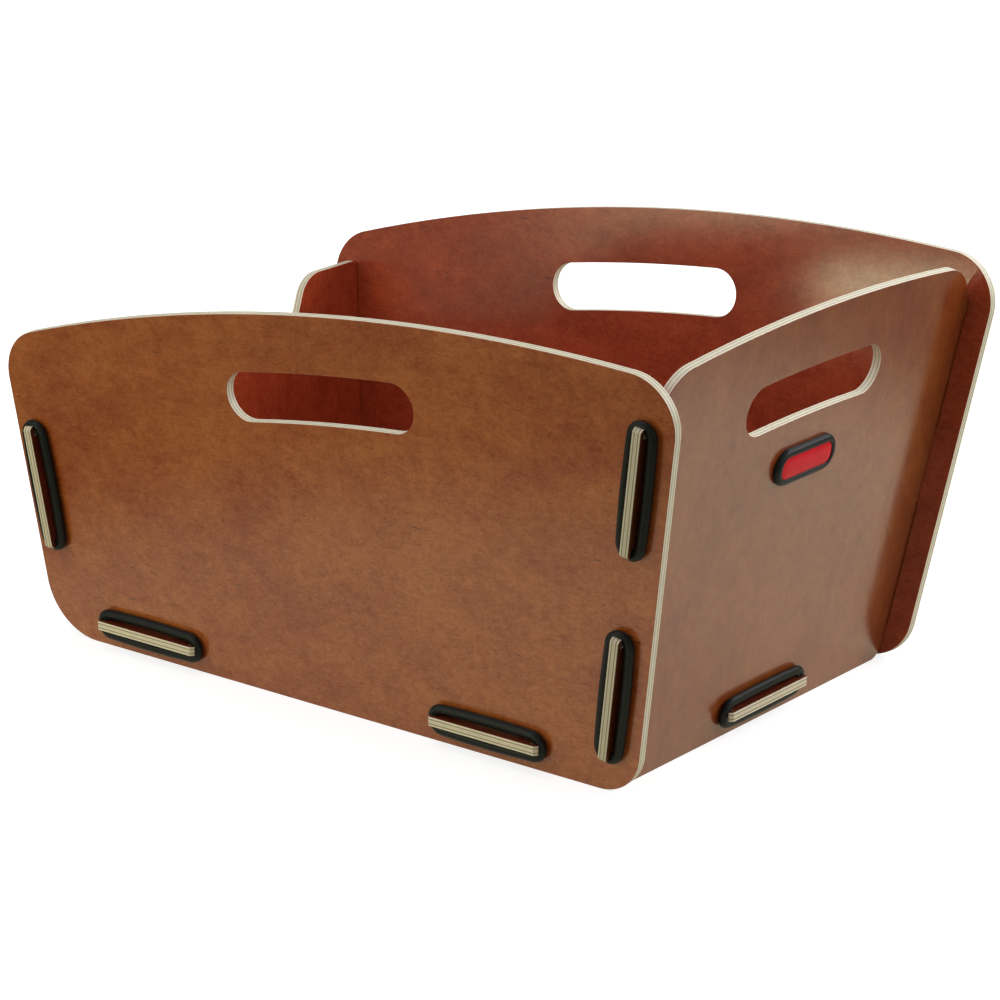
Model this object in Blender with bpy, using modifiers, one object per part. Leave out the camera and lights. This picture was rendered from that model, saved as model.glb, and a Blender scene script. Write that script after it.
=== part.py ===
"""Bicycle crate of five slotted plywood boards, locked together by rubber rings over their tabs.

Metres, +Z up. The origin is on the ground under the middle of the crate. +X points to the end that
carries the badge, and the two long panels face -Y and +Y.
"""
from math import acos, asin, atan, atan2, ceil, cos, hypot, pi, radians, sin, sqrt, tan

import bmesh
import bpy
from mathutils import Matrix, Vector

MM = 0.001

# Boards
PLY = 5.0 * MM                      # thickness of every board
GAP = 0.3 * MM                      # clearance between pieces that touch
CURVE_TOLERANCE = 0.03 * MM         # how far a rounded edge may stray from its true arc
CUT_OVERRUN = 1.0 * MM              # how far a cutter reaches past what it cuts

# Long panels, front and back
OVERALL_LENGTH = 428.6 * MM
BASE_WIDTH = 240.0 * MM             # across the outer faces, at the ground
LONG_LEAN = radians(5.7)
LONG_HEIGHT = 220.0 * MM            # along the board, at the crest of its top edge
LONG_TOP_RADIUS = 1071.0 * MM
LONG_CREST_INSET = 84.2 * MM        # crest of the top edge, in from the badge end
LOW_TOP_CORNER = 27.0 * MM
BADGE_TOP_CORNER = 25.0 * MM
LOW_BOTTOM_CORNER = 32.0 * MM
BADGE_BOTTOM_CORNER = 25.0 * MM

# End panels
BADGE_END_LEAN = radians(10.0)
BADGE_END_RISE = 4.4 * MM           # how much taller it is than the long panels, along the board
BADGE_END_TOP_RADIUS = 1082.0 * MM
BADGE_END_TOP_CORNER = 25.0 * MM
BADGE_END_INSET = 13.7 * MM         # how far the long panels run past it
LOW_END_LEAN = radians(6.0)
LOW_END_INSET = 11.3 * MM
END_BOTTOM_CORNER = 8.0 * MM
FIN_HEIGHT = 152.4 * MM             # along the board
FIN_REACH = 86.2 * MM               # from the middle of the board to the corner of each fin
FIN_SLOPE = radians(64.0)
FIN_CORNER = 18.0 * MM
FIN_TIP_CORNER = 3.0 * MM
RECESS_DEPTH = 32.4 * MM            # cut-out between the fins, down from their tops
RECESS_CORNER = 15.0 * MM

# Floor
FLOOR_CLEARANCE = 11.0 * MM         # ground to the underside
FLOOR_CORNER = 3.0 * MM

# Hand slots
HAND_SLOT_WIDTH = 26.0 * MM
HAND_SLOT_DROP = 30.0 * MM          # board left above the slot
LONG_HAND_SLOT_LENGTH = 121.0 * MM
END_HAND_SLOT_LENGTH = 116.0 * MM

# Tabs
TAB_LENGTH = 67.5 * MM
TAB_REACH = 7.5 * MM                # how far a tab stands out of the face it comes through
TAB_LEAD_IN = 1.5 * MM
BADGE_END_LOWER_TAB = 53.2 * MM     # tab centres, up the end panels' edges from the ground
LOW_END_TAB = 85.7 * MM
UPPER_TAB_DROP = 56.0 * MM          # the badge end's upper tabs, down from the long panels' height
LOW_END_FLOOR_TAB = 85.9 * MM       # the floor's tab centres, in from each end of the long panels
BADGE_END_FLOOR_TAB = 120.1 * MM

# Rubber rings
RING_LENGTH = 72.5 * MM
RING_SECTION = 5.2 * MM             # across the rubber, along the board's face
RING_HEIGHT = 4.2 * MM              # across the rubber, square to the face
RING_BOW = 0.6 * MM                 # how far each side swells at its middle
RING_END_STEPS = 8
RING_SIDE_STEPS = 4

# Badge
BADGE_LENGTH = 51.0 * MM
BADGE_WIDTH = 19.0 * MM
BADGE_THICKNESS = 3.0 * MM
BADGE_EDGE = 0.9 * MM
BADGE_DROP = 80.4 * MM              # top of the board to the badge's centre
INSERT_LENGTH = 42.4 * MM
INSERT_WIDTH = 11.2 * MM
INSERT_CORNER = 4.5 * MM
INSERT_THICKNESS = 1.3 * MM
INSERT_EDGE = 0.3 * MM

COLOURS = {
    "veneer": ((0.200, 0.060, 0.024), 0.35),
    "rubber": ((0.018, 0.019, 0.017), 0.55),
    "badge_black": ((0.016, 0.017, 0.017), 0.30),
    "badge_red": ((0.480, 0.016, 0.024), 0.20),
}


# Scene, collections and materials

def start_scene():
    for obj in list(bpy.data.objects):
        bpy.data.objects.remove(obj, do_unlink=True)
    collections = []
    for name in ("bicycle_crate", "cutters"):
        collection = bpy.data.collections.new(name)
        bpy.context.scene.collection.children.link(collection)
        collections.append(collection)
    return collections


def material(node, kind):
    colour, roughness = COLOURS[kind]
    mat = bpy.data.materials.new(node)
    mat.use_nodes = True
    shader = mat.node_tree.nodes["Principled BSDF"]
    shader.inputs["Base Color"].default_value = (*colour, 1)
    shader.inputs["Roughness"].default_value = roughness
    shader.inputs["Metallic"].default_value = 0
    return mat


# Frames: a board's local X runs along it, Y runs up it and Z is square to it, from its middle plane

def frame(origin, along, up):
    normal = along.cross(up)
    return Matrix((
        (along.x, up.x, normal.x, origin.x),
        (along.y, up.y, normal.y, origin.y),
        (along.z, up.z, normal.z, origin.z),
        (0, 0, 0, 1),
    ))


class Board:
    """A board's frame, and the side of it that faces out of the crate."""

    def __init__(self, ground_point, along, up, outward_sign):
        normal = along.cross(up)
        self.outward = normal * outward_sign
        self.frame = frame(ground_point - self.outward * (PLY / 2), along, up)

    def offset_of(self, point):
        """Distance of a point from the board's middle plane, counted outwards."""
        return (point - self.frame.translation).dot(self.outward)


# Flat geometry: an outline is a loop of straight edges and one-radius arcs, run anticlockwise

def line_edge(point, direction, corner, tabs=()):
    return {"point": point, "direction": direction.normalized(), "corner": corner, "tabs": tabs}


def arc_edge(centre, radius, corner):
    return {"centre": centre, "radius": radius, "corner": corner, "tabs": ()}


def left_of(direction):
    return Vector((-direction.y, direction.x))


def arc_points(centre, start, end, turn):
    """Points from start to end round centre, both left out. turn is 1 anticlockwise, -1 clockwise."""
    radius = (start - centre).length
    first = atan2(start.y - centre.y, start.x - centre.x)
    last = atan2(end.y - centre.y, end.x - centre.x)
    sweep = (turn * (last - first)) % (2 * pi)
    steps = max(2, ceil(sweep / (2 * acos(1 - CURVE_TOLERANCE / radius))))
    angles = [first + turn * sweep * step / steps for step in range(1, steps)]
    return [centre + radius * Vector((cos(angle), sin(angle))) for angle in angles]


def inset_crossing(edge, following, inset):
    """Where two edges meet once both are moved to their left by inset."""
    if "centre" in edge or "centre" in following:
        line, arc, last_hit = (following, edge, False) if "centre" in edge else (edge, following, True)
        point = line["point"] + left_of(line["direction"]) * inset
        to_point = point - arc["centre"]
        along = to_point.dot(line["direction"])
        reach = sqrt(along ** 2 - to_point.length_squared + (arc["radius"] - inset) ** 2)
        return point + line["direction"] * (reach - along if last_hit else -reach - along)
    a, b = edge["direction"], following["direction"]
    start = edge["point"] + left_of(a) * inset
    other = following["point"] + left_of(b) * inset
    gap = other - start
    return start + a * ((gap.x * b.y - gap.y * b.x) / (a.x * b.y - a.y * b.x))


def nearest_on(edge, point):
    if "centre" in edge:
        return edge["centre"] + (point - edge["centre"]).normalized() * edge["radius"]
    return edge["point"] + edge["direction"] * (point - edge["point"]).dot(edge["direction"])


def closed_outline(edges):
    """Points of the loop. Each edge's corner is the radius at its end, negative where it turns right."""
    corners = []
    for index, edge in enumerate(edges):
        following = edges[(index + 1) % len(edges)]
        centre = inset_crossing(edge, following, edge["corner"])
        corners.append((centre, nearest_on(edge, centre), nearest_on(following, centre)))
    points = []
    for index, edge in enumerate(edges):
        start = corners[index - 1][2]
        centre, end, leave = corners[index]
        if "centre" in edge:
            points += arc_points(edge["centre"], start, end, 1)
        for tab in edge["tabs"]:
            points += tab
        points.append(end)
        if edge["corner"]:
            points += arc_points(centre, end, leave, 1 if edge["corner"] > 0 else -1)
            points.append(leave)
    return points


def rounded_slot(centre, mid_radius, middle, length, width):
    """A slot bent round centre, with half-round ends. middle is the angle that it is centred on."""
    end_radius = width / 2
    half_angle = (length / 2 - end_radius) / mid_radius
    inner, outer = mid_radius - end_radius, mid_radius + end_radius
    right = Vector((cos(middle - half_angle), sin(middle - half_angle)))
    left = Vector((cos(middle + half_angle), sin(middle + half_angle)))
    lower = [centre + left * inner, centre + right * inner]
    upper = [centre + right * outer, centre + left * outer]
    points = [lower[0]] + arc_points(centre, lower[0], lower[1], -1) + [lower[1]]
    points += arc_points(centre + right * mid_radius, lower[1], upper[0], 1) + [upper[0]]
    points += arc_points(centre, upper[0], upper[1], 1) + [upper[1]]
    points += arc_points(centre + left * mid_radius, upper[1], lower[0], 1)
    return points


def rectangle(centre, direction, length, width):
    half_along = direction * (length / 2)
    half_across = left_of(direction) * (width / 2)
    return [
        centre - half_along - half_across,
        centre + half_along - half_across,
        centre + half_along + half_across,
        centre - half_along + half_across,
    ]


def rounded_rectangle(length, width, corner):
    x, y = length / 2, width / 2
    corners = ((-x, -y, 1, 0), (x, -y, 0, 1), (x, y, -1, 0), (-x, y, 0, -1))
    edges = [line_edge(Vector((a, b)), Vector((c, d)), corner) for a, b, c, d in corners]
    return closed_outline(edges)


# Rings: their inside clears the steepest tab

STEEPEST_TILT = max(LONG_LEAN, BADGE_END_LEAN, LOW_END_LEAN)
RING_INSIDE = PLY / 2 / cos(STEEPEST_TILT) + RING_HEIGHT / 2 * tan(STEEPEST_TILT) + GAP
RING_TURN = RING_INSIDE + RING_SECTION / 2
RING_SIDE = RING_LENGTH / 2 - RING_SECTION / 2 - RING_TURN
NECK_LENGTH = 2 * (RING_SIDE + sqrt(RING_INSIDE ** 2 - (RING_INSIDE - GAP) ** 2) - GAP)


def ring_path():
    """Centreline of a stretched ring: two slightly bowed sides and two half-round ends."""
    points = []
    for side in (1, -1):
        for step in range(RING_SIDE_STEPS):
            run = 1 - 2 * step / RING_SIDE_STEPS
            swell = RING_BOW * (1 - run ** 2)
            points.append(Vector((side * RING_SIDE * run, side * (RING_TURN + swell), 0)))
        for step in range(RING_END_STEPS):
            angle = pi / 2 + pi * step / RING_END_STEPS
            x = -RING_SIDE + RING_TURN * cos(angle)
            points.append(Vector((side * x, side * RING_TURN * sin(angle), 0)))
    return points


# Joints between boards

def tilt_between(board, wall):
    """How far the board is from being square to the wall that it passes through."""
    return abs(asin(board.outward.dot(wall.outward)))


def wall_line(board, wall, offset):
    """The line on a board's middle plane at an offset from a wall's middle plane, in board axes.

    Returns a point, the direction that keeps the crate's inside on the left, and the outward direction.
    """
    to_wall = wall.outward @ board.frame.to_3x3()
    outward = Vector((to_wall.x, to_wall.y))
    share = outward.length
    outward.normalize()
    origin_offset = wall.offset_of(board.frame.translation)
    point = outward * ((offset - origin_offset) / share)
    return point, left_of(outward), outward


def edge_against(board, wall, corner, tab_centres, axis):
    """The board's edge that butts against a wall, with its tabs through that wall.

    tab_centres are distances along the edge from where the board's coordinate on axis is zero.
    """
    tilt = tilt_between(board, wall)
    setback = GAP + PLY / 2 * sin(tilt)
    seat = -PLY / 2 - setback
    point, direction, outward = wall_line(board, wall, seat)
    zero = point - direction * (point[axis] / direction[axis])
    slant = PLY / 2 * sin(tilt)
    shoulder = PLY / 2 - slant
    under_head = PLY / 2 + GAP + RING_HEIGHT + GAP + slant
    tip = PLY / 2 + TAB_REACH

    def place(centre, along, offset):
        return zero + direction * (centre + along) + outward * ((offset - seat) / cos(tilt))

    tabs = []
    for centre in sorted(tab_centres):
        half, neck = TAB_LENGTH / 2, NECK_LENGTH / 2
        profile = ((half, seat), (half, shoulder), (neck, shoulder), (neck, under_head),
                   (half, under_head), (half, tip - TAB_LEAD_IN), (half - TAB_LEAD_IN, tip))
        tab = [place(centre, -along, offset) for along, offset in profile]
        tab += [place(centre, along, offset) for along, offset in reversed(profile)]
        tabs.append(tab)
        joints.append({
            "board": board,
            "wall": wall,
            "centre": board.frame @ place(centre, 0, 0).to_3d(),
            "along": (board.frame.to_3x3() @ direction.to_3d()).normalized(),
            "outward": (board.frame.to_3x3() @ outward.to_3d()).normalized(),
        })
    return line_edge(point, direction, corner, tabs)


def tab_slots(wall):
    """The slots in a wall for every tab that passes through it."""
    slots = []
    for joint in joints:
        if joint["wall"] is wall:
            tilt = tilt_between(joint["board"], wall)
            centre = wall.frame.inverted() @ joint["centre"]
            along = wall.frame.to_3x3().inverted() @ joint["along"]
            width = PLY / cos(tilt) + PLY * tan(tilt) + 2 * GAP
            direction = Vector((along.x, along.y)).normalized()
            slots.append(rectangle(Vector((centre.x, centre.y)), direction, TAB_LENGTH + 2 * GAP, width))
    return slots


# Making objects

def flat_curve(name, loops, thickness):
    curve = bpy.data.curves.new(name, "CURVE")
    curve.dimensions = "2D"
    curve.fill_mode = "BOTH"
    curve.extrude = thickness / 2
    for loop in loops:
        spline = curve.splines.new("POLY")
        spline.points.add(len(loop) - 1)
        for target, point in zip(spline.points, loop):
            target.co = (point.x, point.y, 0, 1)
        spline.use_cyclic_u = True
    return curve


def curve_to_object(name, curve, matrix, collection, shape=Matrix.Identity(4)):
    """Turns a curve into a closed mesh object, with shape applied to the mesh itself."""
    source = bpy.data.objects.new(name + "_curve", curve)
    bpy.context.scene.collection.objects.link(source)
    depsgraph = bpy.context.evaluated_depsgraph_get()
    mesh = bpy.data.meshes.new_from_object(source.evaluated_get(depsgraph))
    bpy.data.objects.remove(source, do_unlink=True)
    bpy.data.curves.remove(curve)
    work = bmesh.new()
    work.from_mesh(mesh)
    bmesh.ops.remove_doubles(work, verts=work.verts, dist=CURVE_TOLERANCE / 10)
    bmesh.ops.transform(work, matrix=shape, verts=work.verts)
    bmesh.ops.recalc_face_normals(work, faces=work.faces)
    work.to_mesh(mesh)
    work.free()
    mesh.name = name
    obj = bpy.data.objects.new(name, mesh)
    obj.matrix_world = matrix
    collection.objects.link(obj)
    return obj


def finish(obj, kind, smooth_angle=radians(30)):
    obj.data.shade_smooth()
    obj.data.set_sharp_from_angle(angle=smooth_angle)
    obj.data.materials.clear()
    obj.data.materials.append(material(obj.name, kind))


def bevel(obj, width, segments):
    modifier = obj.modifiers.new("edge", "BEVEL")
    modifier.width = width
    modifier.segments = segments
    modifier.limit_method = "ANGLE"
    modifier.angle_limit = radians(50)


# The crate

parts, cutters = start_scene()
joints = []

top_centre = Vector((OVERALL_LENGTH / 2 - LONG_CREST_INSET, LONG_HEIGHT - LONG_TOP_RADIUS))
badge_end_height = LONG_HEIGHT + BADGE_END_RISE


def end_line(side, corner, end_lean):
    """An end of the long panels, parallel to the end panel and touching the top corner's arc.

    Returns the point where it meets the ground line and its direction, upwards.
    """
    slope = atan(tan(end_lean) * cos(LONG_LEAN))
    x = side * (OVERALL_LENGTH / 2 - corner)
    y = top_centre.y + sqrt((LONG_TOP_RADIUS - corner) ** 2 - (x - top_centre.x) ** 2)
    out = Vector((side * cos(slope), -sin(slope)))
    up = Vector((side * sin(slope), cos(slope)))
    touch = Vector((x, y)) + out * corner
    return touch - up * (touch.y / up.y), up, slope


low_foot, low_up, low_slope = end_line(-1, LOW_TOP_CORNER, LOW_END_LEAN)
badge_foot, badge_up, badge_slope = end_line(1, BADGE_TOP_CORNER, BADGE_END_LEAN)

X = Vector((1, 0, 0))
Y = Vector((0, 1, 0))
front = Board(Vector((0, -BASE_WIDTH / 2, 0)), X, Vector((0, -sin(LONG_LEAN), cos(LONG_LEAN))), 1)
back = Board(Vector((0, BASE_WIDTH / 2, 0)), X, Vector((0, sin(LONG_LEAN), cos(LONG_LEAN))), -1)
badge_end = Board(Vector((badge_foot.x - BADGE_END_INSET / cos(badge_slope), 0, 0)), Y,
                  Vector((sin(BADGE_END_LEAN), 0, cos(BADGE_END_LEAN))), 1)
low_end = Board(Vector((low_foot.x + LOW_END_INSET / cos(low_slope), 0, 0)), Y,
                Vector((-sin(LOW_END_LEAN), 0, cos(LOW_END_LEAN))), -1)
floor = Board(Vector((0, 0, FLOOR_CLEARANCE)), X, Y, -1)


def end_panel_edges(board, heights, top_corner, bottom_corner):
    """The two upright edges of an end panel: the one on the back, run upwards, and the front one."""
    back_edge = edge_against(board, back, top_corner, heights, 1)
    front_edge = edge_against(board, front, bottom_corner, [-height for height in heights], 1)
    return back_edge, front_edge


def badge_end_outline():
    heights = (BADGE_END_LOWER_TAB, LONG_HEIGHT - UPPER_TAB_DROP)
    back_edge, front_edge = end_panel_edges(badge_end, heights, BADGE_END_TOP_CORNER, END_BOTTOM_CORNER)
    ground = line_edge(Vector((0, 0)), Vector((1, 0)), END_BOTTOM_CORNER)
    centre = Vector((0, badge_end_height - BADGE_END_TOP_RADIUS))
    top = arc_edge(centre, BADGE_END_TOP_RADIUS, BADGE_END_TOP_CORNER)
    hand_radius = BADGE_END_TOP_RADIUS - HAND_SLOT_DROP - HAND_SLOT_WIDTH / 2
    hand_slot = rounded_slot(centre, hand_radius, pi / 2, END_HAND_SLOT_LENGTH, HAND_SLOT_WIDTH)
    return [closed_outline([ground, back_edge, top, front_edge]), hand_slot]


def low_end_outline():
    back_edge, front_edge = end_panel_edges(low_end, (LOW_END_TAB,), FIN_TIP_CORNER, END_BOTTOM_CORNER)
    ground = line_edge(Vector((0, 0)), Vector((1, 0)), END_BOTTOM_CORNER)
    back_fin, front_fin = Vector((FIN_REACH, FIN_HEIGHT)), Vector((-FIN_REACH, FIN_HEIGHT))
    along = Vector((-1, 0))
    down = Vector((-cos(FIN_SLOPE), -sin(FIN_SLOPE)))
    up = Vector((-cos(FIN_SLOPE), sin(FIN_SLOPE)))
    return [closed_outline([
        ground,
        back_edge,
        line_edge(back_fin, along, FIN_CORNER),
        line_edge(back_fin, down, -RECESS_CORNER),
        line_edge(Vector((0, FIN_HEIGHT - RECESS_DEPTH)), along, -RECESS_CORNER),
        line_edge(front_fin, up, FIN_CORNER),
        line_edge(front_fin, along, FIN_TIP_CORNER),
        front_edge,
    ])]


def floor_outline():
    along = (LOW_END_FLOOR_TAB - OVERALL_LENGTH / 2, OVERALL_LENGTH / 2 - BADGE_END_FLOOR_TAB)
    return [closed_outline([
        edge_against(floor, front, FLOOR_CORNER, along, 0),
        edge_against(floor, badge_end, FLOOR_CORNER, (0,), 1),
        edge_against(floor, back, FLOOR_CORNER, [-distance for distance in along], 0),
        edge_against(floor, low_end, FLOOR_CORNER, (0,), 1),
    ])]


def long_outline():
    hand_radius = LONG_TOP_RADIUS - HAND_SLOT_DROP - HAND_SLOT_WIDTH / 2
    outline = closed_outline([
        line_edge(Vector((0, 0)), Vector((1, 0)), BADGE_BOTTOM_CORNER),
        line_edge(badge_foot, badge_up, BADGE_TOP_CORNER),
        arc_edge(top_centre, LONG_TOP_RADIUS, LOW_TOP_CORNER),
        line_edge(low_foot, -low_up, LOW_BOTTOM_CORNER),
    ])
    middle = acos(-top_centre.x / hand_radius)
    return [outline, rounded_slot(top_centre, hand_radius, middle, LONG_HAND_SLOT_LENGTH, HAND_SLOT_WIDTH)]


def make_board(name, board, loops):
    obj = curve_to_object(name, flat_curve(name, loops, PLY), board.frame, parts)
    finish(obj, "veneer")


badge_end_loops = badge_end_outline()
low_end_loops = low_end_outline()
make_board("floor_panel", floor, floor_outline())
make_board("badge_end_panel", badge_end, badge_end_loops + tab_slots(badge_end))
make_board("low_end_panel", low_end, low_end_loops + tab_slots(low_end))
make_board("front_panel", front, long_outline() + tab_slots(front))
make_board("back_panel", back, long_outline() + tab_slots(back))


def ring_name(joint):
    """A ring is named for the wall that it lies on and the tab that it holds."""
    walls = {id(front): "front", id(back): "back", id(badge_end): "badge_end", id(low_end): "low_end"}
    name = "ring_" + walls[id(joint["wall"])]
    if joint["board"] is floor:
        name += "_floor"
    if joint["wall"] is front or joint["wall"] is back:
        name += "_badge_end" if joint["centre"].x > 0 else "_low_end"
        if joint["board"] is badge_end:
            name += "_upper" if joint["centre"].z > (LONG_HEIGHT / 2) else "_lower"
    return name


def make_ring(joint):
    """A ring lies on its wall's outer face, centred where the tab crosses the ring's own middle plane."""
    wall = joint["wall"]
    height = PLY / 2 + GAP + RING_HEIGHT / 2
    travel = (height - wall.offset_of(joint["centre"])) / joint["outward"].dot(wall.outward)
    centre = joint["centre"] + joint["outward"] * travel
    along = joint["along"]
    across = wall.outward.cross(along).normalized()
    curve = bpy.data.curves.new("ring", "CURVE")
    curve.dimensions = "3D"
    curve.bevel_depth = RING_SECTION / 2
    curve.bevel_resolution = 2
    path = ring_path()
    spline = curve.splines.new("POLY")
    spline.points.add(len(path) - 1)
    for target, point in zip(spline.points, path):
        target.co = (*point, 1)
    spline.use_cyclic_u = True
    squeeze = Matrix.Diagonal((1, 1, RING_HEIGHT / RING_SECTION, 1))
    obj = curve_to_object(ring_name(joint), curve, frame(centre, along, across), parts, squeeze)
    finish(obj, "rubber", radians(60))


for joint in joints:
    make_ring(joint)


def make_badge():
    """An obround plate with a red plate set into a pocket in its face."""
    normal = badge_end.outward
    across = badge_end.frame.to_3x3() @ X
    up = badge_end.frame.to_3x3() @ Y
    on_face = badge_end.frame @ Vector((0, badge_end_height - BADGE_DROP, PLY / 2))
    middle = on_face + normal * (GAP + BADGE_THICKNESS / 2)
    plate = rounded_rectangle(BADGE_LENGTH, BADGE_WIDTH, BADGE_WIDTH / 2 - GAP)
    bezel = curve_to_object("badge_bezel", flat_curve("bezel", [plate], BADGE_THICKNESS),
                            frame(middle, across, up), parts)
    insert_loop = rounded_rectangle(INSERT_LENGTH, INSERT_WIDTH, INSERT_CORNER)
    insert_middle = on_face + normal * (GAP + BADGE_THICKNESS - INSERT_THICKNESS / 2)
    insert = curve_to_object("badge_insert", flat_curve("insert", [insert_loop], INSERT_THICKNESS),
                             frame(insert_middle, across, up), parts)
    pocket_loop = rounded_rectangle(INSERT_LENGTH + 2 * GAP, INSERT_WIDTH + 2 * GAP, INSERT_CORNER + GAP)
    pocket_depth = INSERT_THICKNESS + GAP + CUT_OVERRUN
    pocket_middle = on_face + normal * (GAP + BADGE_THICKNESS + CUT_OVERRUN - pocket_depth / 2)
    pocket = curve_to_object("badge_pocket", flat_curve("pocket", [pocket_loop], pocket_depth),
                             frame(pocket_middle, across, up), cutters)
    pocket.hide_render = True
    pocket.display_type = "WIRE"
    bevel(bezel, BADGE_EDGE, 2)
    cut = bezel.modifiers.new("pocket", "BOOLEAN")
    cut.operation = "DIFFERENCE"
    cut.solver = "EXACT"
    cut.object = pocket
    bevel(insert, INSERT_EDGE, 1)
    finish(bezel, "badge_black")
    finish(insert, "badge_red")


make_badge()
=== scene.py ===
from math import cos, pi, radians, sin

import bmesh
import bpy
import numpy as np
from mathutils import Matrix, Vector


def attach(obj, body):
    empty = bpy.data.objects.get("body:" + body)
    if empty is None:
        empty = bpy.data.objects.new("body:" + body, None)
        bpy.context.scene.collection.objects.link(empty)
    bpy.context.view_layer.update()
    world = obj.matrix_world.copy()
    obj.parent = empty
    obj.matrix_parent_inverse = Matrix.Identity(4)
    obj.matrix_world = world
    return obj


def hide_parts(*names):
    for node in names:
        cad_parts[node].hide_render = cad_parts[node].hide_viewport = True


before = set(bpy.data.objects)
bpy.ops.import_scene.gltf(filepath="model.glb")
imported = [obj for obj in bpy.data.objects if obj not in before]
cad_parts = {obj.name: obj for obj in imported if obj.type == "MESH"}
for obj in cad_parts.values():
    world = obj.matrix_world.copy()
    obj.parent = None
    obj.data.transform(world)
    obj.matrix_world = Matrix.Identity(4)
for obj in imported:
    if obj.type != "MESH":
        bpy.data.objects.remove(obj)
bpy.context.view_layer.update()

mm = 0.001


# node helpers

def feed(tree, socket, value):
    if isinstance(value, bpy.types.NodeSocket):
        tree.links.new(value, socket)
    else:
        socket.default_value = value


def addNode(tree, kind, inputs=None, **settings):
    node = tree.nodes.new(kind)
    for key, value in settings.items():
        setattr(node, key, value)
    for key, value in (inputs or {}).items():
        feed(tree, node.inputs[key], value)
    return node


def mathNode(tree, operation, first, second=0.0, third=0.0, clamp=False):
    return addNode(tree, "ShaderNodeMath", {0: first, 1: second, 2: third},
                   operation=operation, use_clamp=clamp).outputs[0]


def mixColour(tree, share, first, second, blend="MIX"):
    # inputs 6 and 7 and output 2 are the node's colours
    return addNode(tree, "ShaderNodeMix", {0: share, 6: first, 7: second},
                   data_type="RGBA", blend_type=blend).outputs[2]


def ramp(tree, value, stops):
    node = addNode(tree, "ShaderNodeValToRGB", {0: value})
    band = node.color_ramp
    while len(band.elements) < len(stops):
        band.elements.new(0.5)
    for element, (place, colour) in zip(band.elements, stops):
        element.position = place
        element.color = colour if len(colour) == 4 else (*colour, 1)
    return node.outputs[0]


def grey(level):
    return (level, level, level, 1)


def greySpread(tree, noise, levels):
    # most of a noise lies between 0.3 and 0.7, so that stretch is spread between two levels of grey
    low, high = levels
    return ramp(tree, noise, ((0.30, grey(low)), (0.70, grey(high))))


def spotNoise(tree, place, size, detail, roughness=0.5):
    return addNode(tree, "ShaderNodeTexNoise", {
        "Vector": place, "Scale": 1 / size, "Detail": detail, "Roughness": roughness}).outputs[0]


def bumpNode(tree, height, strength, relief):
    return addNode(tree, "ShaderNodeBump", {
        "Height": height, "Strength": strength, "Distance": relief}).outputs[0]


def heightAlong(tree, place, normal):
    # how far a place lies along a direction
    return addNode(tree, "ShaderNodeVectorMath", {
        0: place, 1: normal}, operation="DOT_PRODUCT").outputs["Value"]


def newMaterial(name):
    # a material, its node tree, its shader and the place on the object that all patterns are laid on
    material = bpy.data.materials.new(name)
    material.use_nodes = True
    tree = material.node_tree
    tree.nodes.clear()
    shader = addNode(tree, "ShaderNodeBsdfPrincipled")
    addNode(tree, "ShaderNodeOutputMaterial", {"Surface": shader.outputs[0]})
    place = addNode(tree, "ShaderNodeTexCoord").outputs["Object"]
    return material, tree, shader, place


def setShader(tree, shader, **values):
    for key, value in values.items():
        feed(tree, shader.inputs[key.replace("_", " ")], value)


def addObject(name, data):
    obj = bpy.data.objects.new(name, data)
    bpy.context.scene.collection.objects.link(obj)
    return obj


# boards

# along: the board's long side; grain: degrees between its grain and that side; outside: the way its outer
# face looks; paintedLightScale: how bright its veneer is made, 1 as the finish below has it, set board by
# board to how brightly each board is lit, so painted light and shade; figure: how strong its grain shows;
# seed: any number, for a figure of its own; walls: the boards that its tabs pass through; tabEndLightScale:
# how bright the bare ends of those tabs are made, set board by board the same way, painted light and shade
boards = {
    "front_panel": dict(
        along=(1, 0, 0), grain=-5, outside=(0, -1, 0), paintedLightScale=0.98, figure=1.0, seed=1.3, walls=()),
    "back_panel": dict(
        along=(1, 0, 0), grain=3, outside=(0, 1, 0), paintedLightScale=0.85, figure=0.8, seed=7.9, walls=()),
    "badge_end_panel": dict(
        along=(0, 1, 0), grain=84, outside=(1, 0, 0), paintedLightScale=0.70, figure=0.4, seed=4.1,
        walls=("front_panel", "back_panel"), tabEndLightScale=0.90),
    "low_end_panel": dict(
        along=(0, 1, 0), grain=88, outside=(-1, 0, 0), paintedLightScale=1.05, figure=0.8, seed=11.7,
        walls=("front_panel", "back_panel"), tabEndLightScale=1.05),
    "floor_panel": dict(
        along=(1, 0, 0), grain=2, outside=(0, 0, -1), paintedLightScale=1.05, figure=1.0, seed=15.2,
        walls=("front_panel", "back_panel", "badge_end_panel", "low_end_panel"), tabEndLightScale=1.22),
}
boardCut = dict(
    thickness=5.0 * mm, arris=0.32 * mm, arrisSteps=2, sharpAngle=35, normalWeight=100, weld=0.002 * mm,
    # how squarely a face must look along the board's normal to be its flat face, and to carry veneer
    flatFacing=0.999, veneerFacing=0.6,
    # a rim with fewer corners is a tab slot; its sides, and the faces beside a wall, lie within these reaches
    slotCorners=30, slotReach=0.5 * mm, wallReach=1.5 * mm,
    # share of a wall's thickness beyond its middle where a tab counts as through it
    pastShare=0.4,
)
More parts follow.
